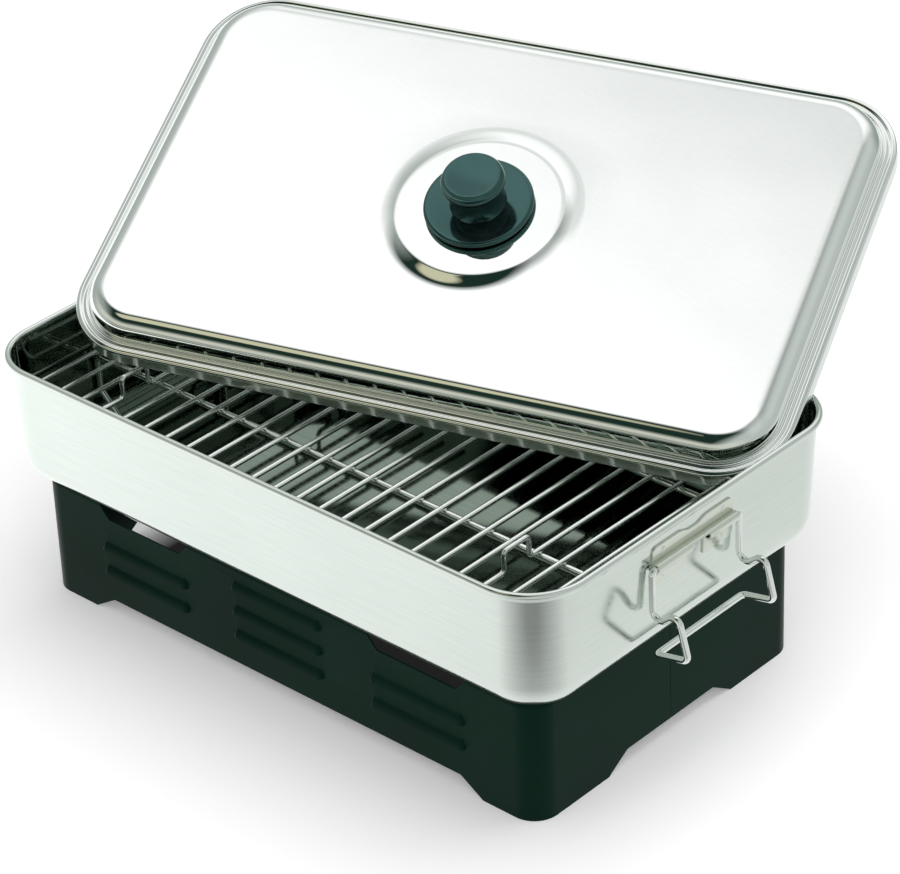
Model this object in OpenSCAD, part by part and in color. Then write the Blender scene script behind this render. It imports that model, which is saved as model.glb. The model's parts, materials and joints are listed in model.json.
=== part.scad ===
// Hot smoker for the table: a roasting pan with a loose lid, a wire food rack and two wire
// handles, standing on a sheet wind shield that covers two spirit burners.
// X runs along the long sides, Z is up, and the origin is on the table under the stand's centre.

/* [Pan] */
// Length over the rolled rim
pan_l = 420; // [380:1:470]
// Width over the rolled rim
pan_w = 261.4; // [240:0.2:300]
// Corner radius of the rim, seen from above
rim_r = 37.3; // [34:0.1:60]
// Diameter of the rolled rim
rim_d = 4.2; // [3:0.1:6]
// Depth from the rim's top to the underside
pan_depth = 81.6; // [65:0.1:110]
// Sheet thickness of the pan
pan_t = 0.9; // [0.6:0.05:1.4]
// How far the wall leans out from vertical, in degrees
wall_lean = 2.7; // [0:0.1:5]
// Outer radius between floor and wall
floor_r = 20; // [8:0.5:22]

/* [Stand] */
// Length of the stand
stand_l = 377.6; // [340:0.2:390]
// Width of the stand
stand_w = 223; // [205:0.5:235]
// Height of the stand, floor to pan
stand_h = 75.5; // [66:0.5:100]
// Corner radius of the stand
stand_r = 15.6; // [15.6:0.1:30]
// Sheet thickness of the stand
stand_t = 1; // [0.8:0.05:1.6]
// Width of the ledge that carries the pan
ledge_w = 15; // [13:0.5:15]
// Radius of the bend between wall and ledge
ledge_bend = 2.5; // [2:0.1:4]
// Overlap of the tab that joins the two halves
tab_w = 14; // [10:0.5:20]

/* [Vents] */
// Distance from the middle to each notch and outer louvre column
vent_x = 104.4; // [92:0.1:118]
// Depth of a notch in the top edge
notch_h = 10; // [6:0.5:12]
// Length of a notch at its bottom
notch_l = 57; // [40:1:66]
// Length of a louvre
louvre_l = 68; // [50:1:76]
// Height of a louvre's hood
louvre_h = 6; // [4:0.1:7]
// How far a louvre stands out
louvre_out = 2.75; // [2:0.05:4]
// Height of the lowest louvre's lower lip above the floor
louvre_z = 28.5; // [24:0.5:32]
// Distance from one louvre to the next
louvre_pitch = 16; // [13:0.5:17]
// Height of the arches in the bottom edge
arch_h = 10; // [6:0.5:16]
// Length of the arch in a long side
arch_l = 300; // [240:1:306]
// Length of the arch in an end
arch_w = 106; // [70:1:150]
// Length of an arch's sloping end
arch_slope = 16; // [10:0.5:20]

/* [Rack] */
// Number of cross bars
bar_count = 24; // [18:1:24]
// Distance from one cross bar to the next
bar_pitch = 17; // [15:0.1:17.4]
// Diameter of a cross bar
bar_d = 3; // [2.5:0.1:4]
// Diameter of the two runner wires
runner_d = 4; // [3:0.1:5]
// Distance from the middle to each runner
runner_y = 49; // [35:0.5:70]
// Height of the runners' axis above the pan's inner floor
rack_h = 44.6; // [34:0.1:52]
// How far the rack is pushed along the pan
rack_shift = -5; // [-5:0.5:5]
// Gap between the cross bars' ends and the pan's wall
bar_gap = 10; // [4:0.5:12]
// Width of a lifting loop
loop_w = 20; // [14:0.5:28]
// Height of a lifting loop
loop_h = 13; // [8:0.5:16]
// Distance from the middle to each lifting loop
loop_y = 67; // [62:0.5:90]

/* [Handles] */
// Length of a handle plate
plate_l = 67.5; // [60:0.5:90]
// Height of a handle plate
plate_h = 24.4; // [22:0.1:30]
// Sheet thickness of a handle plate
plate_t = 1; // [0.8:0.05:1.4]
// Distance from the rim's top down to the handle's pivot
pivot_drop = 22.9; // [18:0.1:30]
// How far each handle sits off the middle of the pan's end
handle_y = -2.8; // [-6:0.1:6]
// Diameter of the handle wire
wire_d = 3.8; // [3:0.1:5]
// Length of the handle wire inside the barrel at each side
pin_l = 13; // [8:0.5:14]
// Clearance between wire and barrel
pin_gap = 0.08; // [0.05:0.01:0.1]

/* [Lid] */
// Length over the lid's skirt
lid_l = 432.4; // [428:0.2:480]
// Width over the lid's skirt
lid_w = 273.8; // [270:0.2:312]
// Corner radius of the skirt
lid_r = 43.6; // [43:0.1:66]
// Sheet thickness of the lid
lid_t = 0.8; // [0.6:0.05:1.2]
// Height of the skirt
skirt_h = 10.7; // [8:0.1:16]
// Width of the step that lands on the rim
step_w = 8.3; // [6.5:0.1:14]
// Radius of the lid's shoulder
shoulder_r = 12.55; // [8:0.05:20]
// Diameter of the roll at the skirt's bottom
hem_d = 3.4; // [2.6:0.1:4]
// Diameter of the raised round field under the knob
boss_d = 122; // [100:1:140]
// Height of that field
boss_h = 2.5; // [1.5:0.1:4]
// Where the middle of the skirt's bottom lies, with the lid set askew on the pan
lid_at = [-33, 107.5, 190.5];
// How the lid is tipped, in degrees
lid_tip = [22.17, 9.4, 17.4];

/* [Knob] */
// Diameter of the knob's cap
cap_d = 37; // [30:0.5:44]
// Thickness of the knob's cap
cap_h = 10; // [7:0.5:12]
// Height from the collar to the knob's top
knob_h = 23; // [18:0.1:32]
// Diameter of the neck under the cap
neck_d = 27; // [20:0.5:29]
// Diameter of the neck at the collar
neck_foot_d = 33; // [28:0.5:40]
// Diameter of the collar that guards the fingers
collar_d = 64; // [50:0.5:76]
// Thickness of the collar
collar_h = 4; // [3:0.1:6]
// Diameter of the spacer ring under the collar
spacer_d = 38; // [30:0.5:44]
// Thickness of the spacer ring
spacer_h = 1.2; // [1:0.1:3]
// Diameter of the knob's screw
screw_d = 5; // [4:0.1:6]

/* [Burners] */
// Distance from the middle to each burner
burner_x = 100; // [80:1:112]
// Diameter of a burner's cup
cup_d = 80; // [66:1:90]
// Height of a burner's cup
cup_h = 34; // [26:1:44]
// Wall thickness of a cup
cup_t = 1; // [0.6:0.1:1.6]
// Diameter of the flame's opening
flame_d = 52; // [40:1:56]

/* [Hidden] */
$fn = 64;
// Heights that several pieces share
rim_top = stand_h + pan_depth;
rim_z = rim_top - rim_d / 2;
floor_z = stand_h + pan_t;
pivot_z = rim_top - pivot_drop;
// The pan's wall, measured from the centre of a corner
lap = 0.2;
wall_top = rim_r - rim_d + pan_t + lap;
fillet_z = stand_h + floor_r;
wall_len = (rim_z - fillet_z + floor_r * sin(wall_lean)) / cos(wall_lean);
fillet_x = wall_top - wall_len * sin(wall_lean) - floor_r * cos(wall_lean);
flat_x = fillet_x - 5;
pan_cx = pan_l / 2 - rim_r;
pan_cy = pan_w / 2 - rim_r;
function wall_out(z) = wall_top - (rim_z - z) * tan(wall_lean);
// The rack
runner_z = floor_z + rack_h;
bar_z = runner_z + runner_d / 2 + bar_d / 2 + 0.02;
bar_l = 2 * (pan_cy + wall_out(bar_z) - pan_t - bar_gap);
rack_l = (bar_count - 1) * bar_pitch;
lift_bars = [3, bar_count - 4];
wall_gap = 1.5;
leg_in = 19.5;
leg_z = fillet_z + 2.5;
foot_z = floor_z + runner_d / 2 + 0.1;
foot_l = 11;
// The handles
seat_gap = 0.02;
bore_r = wire_d / 2 + pin_gap;
barrel_r = bore_r + plate_t;
wall_x = pan_cx + wall_out(pivot_z);
barrel_x = wall_x + barrel_r + 0.1;
plate_up = 11.6;
plate_r = 4;
plate_dip = 2.4;
plate_dip_l = 22;
window_w = 15.4;
window_y = 1.5;
window_up = 1.8;
dimple = 0.35;
dimple_r = 3;
wire_bend = 2.6;
arm_y = plate_l / 2 + wire_bend + 0.2;
// The handle wire's shape beside the pivot: how far out, how far down
bail_path = [[0, -33.8], [17.1, -20.1], [24.1, -46.2], [2.7, -50.9]];
bail_bends = [5, 4, 3.2, wire_bend];
// The lid
lid_h = skirt_h + shoulder_r;
lid_cx = lid_l / 2 - lid_r;
lid_cy = lid_w / 2 - lid_r;
step_r = 1.5;
shoulder_x = lid_r - step_w - shoulder_r;
lid_flat_x = shoulder_x - 5;
boss_slope = 12;
boss_top = lid_h + boss_h;
// The knob's stack on the lid
fit = 0.05;
spacer_z = boss_top + seat_gap;
collar_z = spacer_z + spacer_h + seat_gap;
knob_z = collar_z + collar_h + seat_gap;
dish = 0.6;
cap_edge = 4.5;
insert_r = screw_d / 2 + 2;
insert_h = 10;
washer_r = screw_d / 2 + 3.5;
washer_t = 1;
head_r = screw_d / 2 + 2.4;
head_h = 3;
screw_top = knob_z + insert_h - 1;
washer_z = boss_top - lid_t - seat_gap - washer_t;
// The stand
stand_cx = stand_l / 2 - stand_r;
stand_cy = stand_w / 2 - stand_r;
notch_slope = 9;
vent_r = 3;
seam_gap = 0.3;
tab_gap = 0.05;
tab_z = 14;
// The burners
wick_h = 22;
gauze_h = 0.8;
ring_h = 9;
ring_t = 1;

// ---- Helpers ----

function unit(v) = v / norm(v);

// One of a list's values, or the same value every time
function pick(r, i) = is_list(r) ? r[i] : r;

// A polygon's points with each corner rounded, to one radius or to a radius for each corner
function rounded(points, radii, steps = 6) = [
    for (i = [0 : len(points) - 1])
        let (
            p = points[i],
            r = pick(radii, i),
            a = unit(points[(i + len(points) - 1) % len(points)] - p),
            b = unit(points[(i + 1) % len(points)] - p),
            half = acos(a * b) / 2,
            c = p + unit(a + b) * r / sin(half),
            from = p + a * r / tan(half) - c,
            to = p + b * r / tan(half) - c,
            start = atan2(from.y, from.x),
            turn = (atan2(to.y, to.x) - start + 3 * 180) % 360 - 180
        )
        for (k = [0 : steps]) c + r * [cos(start + turn * k / steps), sin(start + turn * k / steps)]
];

// A flat rounded rectangle with corner centres at plus and minus cx, cy
module rounded_plate(cx, cy, r, h) {
    linear_extrude(h) {
        square([2 * cx, 2 * (cy + r)], center = true);
        square([2 * (cx + r), 2 * cy], center = true);
        for (x = [-cx, cx], y = [-cy, cy]) translate([x, y]) circle(r);
    }
}

// Carries a profile round a rounded rectangle, its x measured out from the corner centres
module around(cx, cy) {
    for (i = [0 : 3]) {
        a = i % 2 == 0 ? cx : cy;
        b = i % 2 == 0 ? cy : cx;
        rotate(90 * i) {
            translate([a, b, 0]) rotate_extrude(angle = 90) children();
            translate([a, b, 0]) rotate([90, 0, 0]) linear_extrude(2 * b) children();
        }
    }
}

// A straight wire from one point to another
module rod(from, to, d) {
    v = to - from;
    translate(from) rotate([0, acos(v.z / norm(v)), atan2(v.y, v.x)]) cylinder(h = norm(v), d = d);
}

// How far before its corner a bend of radius r starts
function bend_start(p, q, s, r) = r / tan(acos(unit(p - q) * unit(s - q)) / 2);

// A vector turned back so that n points up
function turned_back(v, n) =
    let (az = atan2(n.y, n.x), tip = acos(n.z), x = v.x * cos(az) + v.y * sin(az))
    [x * cos(tip) - v.z * sin(tip), v.y * cos(az) - v.x * sin(az)];

// The bend of a wire at q, on its way from p to s
module wire_corner(p, q, s, r, d) {
    u = unit(p - q);
    v = unit(s - q);
    half = acos(u * v) / 2;
    c = q + unit(u + v) * r / sin(half);
    n = unit(cross(v, u));
    w = turned_back(q + u * r / tan(half) - c, n);
    translate(c) rotate([0, acos(n.z), atan2(n.y, n.x)]) rotate(atan2(w.y, w.x))
        rotate_extrude(angle = 180 - 2 * half) translate([r, 0]) circle(d = d);
}

// A wire bent along a list of points, to one radius or to a radius for each bend: the straights
// run a little into each bend
module bent_wire(points, radii, d) {
    last = len(points) - 1;
    bite = 0.4;
    swell = 0.12;
    for (i = [0 : last - 1]) {
        e = unit(points[i + 1] - points[i]);
        cut_a = i == 0 ? 0
            : bend_start(points[i - 1], points[i], points[i + 1], pick(radii, i - 1)) - bite;
        cut_b = i == last - 1 ? 0
            : bend_start(points[i], points[i + 1], points[i + 2], pick(radii, i)) - bite;
        rod(points[i] + e * cut_a, points[i + 1] - e * cut_b, d);
    }
    for (i = [1 : last - 1])
        wire_corner(points[i - 1], points[i], points[i + 1], pick(radii, i - 1), d + swell);
}

// ---- Stand ----

// Everything inside the stand's outer face, drawn in by inset
module stand_fill(inset) {
    top = stand_h - inset;
    side = stand_r - inset;
    bend = ledge_bend + stand_t - inset;
    translate([0, -inset]) square([side, top + inset - bend]);
    square([side - bend, top]);
    translate([side - bend, top - bend]) circle(bend);
}

module stand_section() {
    difference() {
        stand_fill(0);
        stand_fill(stand_t);
        translate([-1, -1]) square([1 + stand_r - ledge_w, stand_h + 2]);
    }
}

// A trapezoid as wide as l at y = 0, going in by slope up to the height h
module vent_outline(l, slope, h) {
    under = 8;
    polygon(rounded([
        [-l / 2, -under], [-l / 2, 0], [-l / 2 + slope, h],
        [l / 2 - slope, h], [l / 2, 0], [l / 2, -under]
    ], vent_r));
}

// A hollow hood, open below, with its lower lip at z = 0, standing out towards -Y
module louvre() {
    bow = (louvre_h * louvre_h + louvre_out * louvre_out) / (2 * louvre_out);
    straight = louvre_l / 2 - louvre_out;
    hood_t = 0.8 * stand_t;
    module section() {
        intersection() {
            translate([louvre_out - bow, 0]) difference() {
                circle(bow);
                circle(bow - hood_t);
            }
            square([louvre_out + 1, louvre_h + 1]);
        }
    }
    translate([0, 0.1, 0]) {
        translate([straight, 0, 0]) rotate([90, 0, -90]) linear_extrude(2 * straight) section();
        translate([straight, 0, 0]) rotate(-90) rotate_extrude(angle = 90) section();
        translate([-straight, 0, 0]) rotate(180) rotate_extrude(angle = 90) section();
    }
}

// The slot that a louvre's hood covers
module louvre_slot() {
    slot_h = louvre_h - 2.2;
    slot_l = louvre_l - 2 * louvre_out;
    translate([-slot_l / 2, -0.05, 0]) cube([slot_l, stand_t + 1, slot_h]);
}

// Puts something at every louvre of the front
module at_louvres() {
    for (column = [-1 : 1], row = [0 : column == 0 ? 2 : 1])
        translate([column * vent_x, -stand_w / 2, louvre_z + row * louvre_pitch]) children();
}

// One half of the stand: the front, with its tab behind the other half's end
module stand_half() {
    side = stand_w / 2;
    reach = ledge_w + 6;
    tab_x = stand_l / 2 - 2 * stand_t - tab_gap;
    tab_top = stand_h - 2 * (ledge_bend + stand_t);
    difference() {
        around(stand_cx, stand_cy) stand_section();
        translate([-stand_l, -seam_gap / 2, -1]) cube([2 * stand_l, stand_w, stand_h + 2]);
        translate([0, -side + reach, 0]) rotate([90, 0, 0]) linear_extrude(2 * reach)
            vent_outline(arch_l, arch_slope, arch_h);
        translate([-stand_l, 0, 0]) rotate([90, 0, 90]) linear_extrude(2 * stand_l)
            vent_outline(arch_w, arch_slope, arch_h);
        for (x = [-vent_x, vent_x])
            translate([x, -side + reach, stand_h]) rotate([90, 0, 0]) mirror([0, 1, 0])
                linear_extrude(2 * reach) vent_outline(notch_l + 2 * notch_slope, notch_slope, notch_h);
        at_louvres() louvre_slot();
    }
    at_louvres() louvre();
    translate([tab_x, -tab_w, tab_z]) cube([stand_t, 2 * tab_w, tab_top - tab_z]);
    translate([tab_x, -tab_w, tab_z]) cube([1.5 * stand_t, tab_w - 1, tab_top - tab_z]);
}

module stand_front() { color("#1b2f27") stand_half(); }
module stand_rear() { color("#1b2f27") rotate(180) stand_half(); }

// ---- Pan ----

// Everything inside the pan's outer face, drawn in by inset and open at the top
module pan_fill(inset) {
    r = floor_r - inset;
    translate([fillet_x, fillet_z]) {
        rotate(-wall_lean) {
            circle(r);
            translate([-r, 0]) square([2 * r, wall_len + 2 * inset]);
        }
        translate([-fillet_x, -r]) square([fillet_x, floor_r]);
    }
}

module pan_section() {
    difference() {
        pan_fill(0);
        pan_fill(pan_t);
        translate([-2 * floor_r, stand_h - 1]) square([2 * floor_r + flat_x, pan_depth + 2]);
    }
    translate([rim_r - rim_d / 2, rim_z]) circle(d = rim_d);
}

module pan() {
    color("#b9c4bd") {
        around(pan_cx, pan_cy) pan_section();
        translate([0, 0, stand_h]) rounded_plate(pan_cx, pan_cy, flat_x + 2, pan_t);
    }
}

// ---- Rack ----

function bar_x(i) = (i - (bar_count - 1) / 2) * bar_pitch;
function bar_corner(x) = max(0, abs(x) + bar_d / 2 - pan_cx);
// Half the length of the bar at x, which is shorter where the pan's corners come in
function bar_end(x) = min(bar_l / 2, pan_cy - wall_gap
    + sqrt(pow(wall_out(bar_z) - pan_t, 2) - pow(bar_corner(x), 2)));

module in_rack() { translate([rack_shift, 0, 0]) children(); }

module rack_bars() {
    color("#d8dcd8") in_rack()
        for (i = [0 : bar_count - 1])
            if (i != lift_bars[0] && i != lift_bars[1]) {
                end = bar_end(bar_x(i) + rack_shift);
                rod([bar_x(i), -end, bar_z], [bar_x(i), end, bar_z], bar_d);
            }
}

// A loop's four corners along a bar, at the distance y from the middle
function loop_points(x, y) = [
    [x, y - loop_w / 2, bar_z], [x, y - loop_w / 2, bar_z + loop_h],
    [x, y + loop_w / 2, bar_z + loop_h], [x, y + loop_w / 2, bar_z]
];

module rack_lift_bars() {
    color("#d8dcd8") in_rack()
        for (i = lift_bars) {
            x = bar_x(i);
            end = bar_end(x + rack_shift);
            bent_wire(concat(
                [[x, -end, bar_z]], loop_points(x, -loop_y), loop_points(x, loop_y), [[x, end, bar_z]]
            ), bar_d, bar_d);
        }
}

// A long wire under the bars, its ends bent down into legs that stand on the pan's floor
module rack_runner(y) {
    out = rack_l / 2;
    color("#c8cdc8") in_rack() bent_wire([
        [-out + leg_in + foot_l, y, foot_z], [-out + leg_in, y, foot_z], [-out, y, leg_z],
        [-out, y, runner_z], [out, y, runner_z],
        [out, y, leg_z], [out - leg_in, y, foot_z], [out - leg_in - foot_l, y, foot_z]
    ], runner_d, runner_d);
}

module rack_runner_front() { rack_runner(-runner_y); }
module rack_runner_rear() { rack_runner(runner_y); }

// ---- Handles ----

// The plate's outline as it is seen from the end, the pivot's height at y = 0
module plate_outline() {
    low = plate_up - plate_h;
    dip = plate_dip_l / 2;
    polygon(rounded([
        [-plate_l / 2, low], [-plate_l / 2, plate_up],
        [-dip, plate_up], [-dip / 3, plate_up - plate_dip], [dip / 3, plate_up - plate_dip], [dip, plate_up],
        [plate_l / 2, plate_up], [plate_l / 2, low]
    ], [plate_r, plate_r, dip, dip / 2, dip / 2, dip, plate_r, plate_r]));
}

module handle_plate() {
    color("#c9d0cb") translate([0, handle_y, 0]) difference() {
        union() {
            translate([wall_x + seat_gap, 0, pivot_z]) rotate([0, wall_lean, 0])
                rotate([90, 0, 90]) linear_extrude(plate_t) plate_outline();
            translate([barrel_x, plate_l / 2, pivot_z]) rotate([90, 0, 0])
                cylinder(h = plate_l, r = barrel_r);
        }
        translate([barrel_x, plate_l / 2 + 1, pivot_z]) rotate([90, 0, 0])
            cylinder(h = plate_l + 2, r = bore_r);
        translate([wall_x - 5, window_y - window_w / 2, pivot_z + window_up - plate_h])
            cube([5 + 5 * barrel_r, window_w, plate_h]);
        for (y = [-0.73, 0.73] * plate_l / 2, z = [plate_up - plate_r, plate_up - plate_h + plate_r])
            translate([wall_x + z * tan(wall_lean) + seat_gap + plate_t - dimple + dimple_r, y, pivot_z + z])
                sphere(dimple_r);
    }
}

module handle_bail() {
    arm = [for (p = bail_path) [p.x, 0, p.y]];
    side = [0, arm_y, 0];
    pin = [0, plate_l / 2 - pin_l, 0];
    last = len(arm) - 1;
    color("#dfe3df") translate([barrel_x, handle_y, pivot_z]) bent_wire(concat(
        [-pin, -side], [for (p = arm) p - side], [for (i = [last : -1 : 0]) arm[i] + side], [side, pin]
    ), concat(
        wire_bend, bail_bends, [for (i = [last : -1 : 0]) bail_bends[i]], wire_bend
    ), wire_d);
}

module handle_plate_right() { handle_plate(); }
module handle_plate_left() { rotate(180) handle_plate(); }
module handle_bail_right() { handle_bail(); }
module handle_bail_left() { rotate(180) handle_bail(); }

// ---- Lid ----

// Puts a piece that is drawn on a level lid where the lid lies, askew on the pan
module on_lid() {
    translate(lid_at) rotate([lid_tip.x, 0, 0]) rotate([0, lid_tip.y, 0]) rotate(lid_tip.z) children();
}

// Everything inside the lid's outer face, drawn in by inset
module lid_fill(inset) {
    low = -2 * inset;
    translate([0, low]) square([lid_r - inset, skirt_h - step_r - low]);
    translate([0, low]) square([lid_r - step_r, skirt_h - inset - low]);
    translate([lid_r - step_r, skirt_h - step_r]) circle(step_r - inset);
    translate([0, low]) square([lid_r - step_w - inset, skirt_h - low]);
    translate([shoulder_x, skirt_h]) circle(shoulder_r - inset);
    square([shoulder_x, lid_h - inset]);
}

module lid_section() {
    difference() {
        lid_fill(0);
        lid_fill(lid_t);
        translate([-1, -1]) square([1 + lid_flat_x, lid_h + 2]);
        translate([-1, -2 * shoulder_r]) square([lid_r + 2, 2 * shoulder_r]);
    }
    translate([lid_r - hem_d / 2 - 0.05, hem_d / 2]) circle(d = hem_d);
}

module boss_cone() { cylinder(h = boss_h, d1 = boss_d, d2 = boss_d - 2 * boss_slope); }

module lid() {
    color("#e3e8e3") on_lid() {
        around(lid_cx, lid_cy) lid_section();
        difference() {
            union() {
                translate([0, 0, lid_h - lid_t]) rounded_plate(lid_cx, lid_cy, lid_flat_x + 2, lid_t);
                translate([0, 0, lid_h - 0.01]) boss_cone();
            }
            translate([0, 0, lid_h - lid_t - 0.01]) boss_cone();
            translate([0, 0, lid_h - lid_t - 1]) cylinder(h = 1, d = boss_d);
            translate([0, 0, lid_h - boss_h]) cylinder(h = 3 * boss_h, d = screw_d + 4 * fit);
        }
    }
}

// ---- Knob ----

// A shallow dish in the top of a turned piece, w wide, with the top at height z
module dish_cut(w, z) {
    r = (w * w / 4 + dish * dish) / (2 * dish);
    intersection() {
        translate([0, z + r - dish]) circle(r, $fn = 720);
        square([w, z + 5]);
    }
}

module knob_spacer() {
    color("#9aa19c") on_lid() translate([0, 0, spacer_z]) difference() {
        cylinder(h = spacer_h, d = spacer_d);
        translate([0, 0, -1]) cylinder(h = spacer_h + 2, d = screw_d + 4 * fit);
    }
}

module knob_collar() {
    r = collar_h / 2;
    color("#101514") on_lid() translate([0, 0, collar_z]) rotate_extrude() difference() {
        union() {
            square([collar_d / 2 - r, collar_h]);
            translate([collar_d / 2 - r, r]) circle(r);
        }
        dish_cut(collar_d - 4 * r, collar_h);
        square([screw_d + 4 * fit, 3 * collar_h], center = true);
    }
}

module knob() {
    neck_h = knob_h - cap_h;
    flare = (neck_foot_d - neck_d) / 2;
    flare_r = (neck_h * neck_h + flare * flare) / (2 * flare);
    under_r = cap_h - cap_edge;
    color("#0d1413") on_lid() translate([0, 0, knob_z]) rotate_extrude() difference() {
        union() {
            difference() {
                square([neck_foot_d / 2, neck_h + 1]);
                translate([neck_d / 2 + flare_r, neck_h]) circle(flare_r);
            }
            translate([0, neck_h]) square([cap_d / 2 - cap_edge, cap_h]);
            translate([cap_d / 2 - cap_edge, knob_h - cap_edge]) circle(cap_edge);
            translate([cap_d / 2 - under_r, neck_h + under_r]) circle(under_r);
            translate([0, neck_h + under_r / 2]) square([cap_d / 2 - under_r, cap_h - cap_edge]);
        }
        dish_cut(cap_d - 2 * cap_edge, knob_h);
        square([insert_r + fit, insert_h + 0.5]);
    }
}

module knob_insert() {
    color("#b08d45") on_lid() translate([0, 0, knob_z + seat_gap]) difference() {
        cylinder(h = insert_h, r = insert_r);
        translate([0, 0, -1]) cylinder(h = insert_h + 2, d = screw_d + 2 * fit);
    }
}

module knob_screw() {
    color("#a8aeb0") on_lid() {
        translate([0, 0, washer_z - seat_gap]) cylinder(h = screw_top - washer_z, d = screw_d);
        translate([0, 0, washer_z - seat_gap - head_h]) cylinder(h = head_h, r1 = head_r - 1, r2 = head_r);
    }
}

module screw_washer() {
    color("#a8aeb0") on_lid() translate([0, 0, washer_z]) difference() {
        cylinder(h = washer_t, r = washer_r);
        translate([0, 0, -1]) cylinder(h = washer_t + 2, d = screw_d + 4 * fit);
    }
}

// ---- Burners ----

module at_burner(side) { translate([side * burner_x, 0, 0]) children(); }

module burner_cup(side) {
    color("#a9aeab") at_burner(side) rotate_extrude() difference() {
        square([cup_d / 2, cup_h]);
        translate([0, cup_t]) square([cup_d / 2 - cup_t, cup_h]);
    }
}

module burner_wick(side) {
    color("#e8e2d2") at_burner(side) translate([0, 0, cup_t + seat_gap])
        cylinder(h = wick_h, r = cup_d / 2 - cup_t - 0.3);
}

module burner_gauze(side) {
    color("#8f9490") at_burner(side) translate([0, 0, cup_t + wick_h + 2 * seat_gap])
        cylinder(h = gauze_h, r = cup_d / 2 - cup_t - 0.3);
}

module burner_ring(side) {
    inner = cup_d / 2 + 2 * fit;
    color("#b4b9b6") at_burner(side) translate([0, 0, cup_h + seat_gap]) rotate_extrude() {
        translate([flame_d / 2, 0]) square([inner + ring_t - flame_d / 2, ring_t]);
        translate([inner, ring_t - ring_h]) square([ring_t, ring_h]);
    }
}

module burner_cup_left() { burner_cup(-1); }
module burner_wick_left() { burner_wick(-1); }
module burner_gauze_left() { burner_gauze(-1); }
module burner_ring_left() { burner_ring(-1); }
module burner_cup_right() { burner_cup(1); }
module burner_wick_right() { burner_wick(1); }
module burner_gauze_right() { burner_gauze(1); }
module burner_ring_right() { burner_ring(1); }

stand_front();
stand_rear();
pan();
rack_bars();
rack_lift_bars();
rack_runner_front();
rack_runner_rear();
handle_plate_left();
handle_plate_right();
handle_bail_left();
handle_bail_right();
lid();
knob_spacer();
knob_collar();
knob();
knob_insert();
knob_screw();
screw_washer();
burner_cup_left();
burner_wick_left();
burner_gauze_left();
burner_ring_left();
burner_cup_right();
burner_wick_right();
burner_gauze_right();
burner_ring_right();
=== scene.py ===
import json
import math
import bpy
import bmesh
from mathutils import Matrix, Vector


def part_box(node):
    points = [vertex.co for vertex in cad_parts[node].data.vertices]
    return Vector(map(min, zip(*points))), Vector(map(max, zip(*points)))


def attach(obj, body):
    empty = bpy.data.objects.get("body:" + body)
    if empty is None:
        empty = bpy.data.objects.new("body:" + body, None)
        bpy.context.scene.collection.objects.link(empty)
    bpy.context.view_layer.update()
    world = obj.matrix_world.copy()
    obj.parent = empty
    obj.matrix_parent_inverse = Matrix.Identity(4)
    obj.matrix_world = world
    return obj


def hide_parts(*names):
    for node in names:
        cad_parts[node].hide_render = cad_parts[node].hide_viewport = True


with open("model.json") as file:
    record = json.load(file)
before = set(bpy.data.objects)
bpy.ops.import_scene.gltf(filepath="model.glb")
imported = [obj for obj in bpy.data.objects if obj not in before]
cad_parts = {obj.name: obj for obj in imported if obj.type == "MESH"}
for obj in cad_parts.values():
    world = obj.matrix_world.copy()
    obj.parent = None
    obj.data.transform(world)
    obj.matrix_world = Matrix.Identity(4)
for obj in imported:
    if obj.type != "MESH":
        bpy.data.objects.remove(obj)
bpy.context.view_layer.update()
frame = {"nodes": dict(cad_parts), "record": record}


# ---- Camera ----
# A long lens, looking down on the near right corner. The numbers come from fitting the rim,
# the stand and the handle to the photograph.
view_azimuth = math.radians(43.108)
view_elevation = math.radians(31.319)
view_roll = math.radians(-2.406)
view_distance = 2.1194
view_aim = (0.02262, 0.02408)
aim_height = 0.09
lens_mm = 149.94

back = Vector((
    math.sin(view_azimuth) * math.cos(view_elevation),
    -math.cos(view_azimuth) * math.cos(view_elevation),
    math.sin(view_elevation),
))
level_right = Vector((math.cos(view_azimuth), math.sin(view_azimuth), 0))
level_up = back.cross(level_right)
right = math.cos(view_roll) * level_right + math.sin(view_roll) * level_up
up = math.cos(view_roll) * level_up - math.sin(view_roll) * level_right
eye = Vector((0, 0, aim_height)) + view_aim[0] * right + view_aim[1] * up + view_distance * back
camera = bpy.data.objects.new("camera", bpy.data.cameras.new("camera"))
bpy.context.scene.collection.objects.link(camera)
camera.data.lens = lens_mm
camera.data.sensor_width = 36
camera.data.clip_end = 50
camera.matrix_world = Matrix((
    (right.x, up.x, back.x, eye.x),
    (right.y, up.y, back.y, eye.y),
    (right.z, up.z, back.z, eye.z),
    (0, 0, 0, 1),
))
bpy.context.scene.camera = camera
bpy.context.scene.view_settings.view_transform = "Standard"


# ---- Studio ----
# A white table under a large soft lamp. Mirrors show a dim room with a lit panel overhead, and
# the camera sees plain white behind the table, as in a catalogue picture.
def new_material(name):
    """An empty node material and its tree."""
    material = bpy.data.materials.new(name)
    material.use_nodes = True
    material.node_tree.nodes.clear()
    return material, material.node_tree


def add(tree, kind, **settings):
    """A node of that kind, with its properties set and its named inputs filled."""
    node = tree.nodes.new(kind)
    for name, value in settings.items():
        if hasattr(node, name):
            setattr(node, name, value)
        else:
            node.inputs[name.replace("_", " ")].default_value = value
    return node


def join(tree, out_node, out_socket, in_node, in_socket):
    """A link between two sockets, each given by its name or its number."""
    tree.links.new(out_node.outputs[out_socket], in_node.inputs[in_socket])


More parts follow.
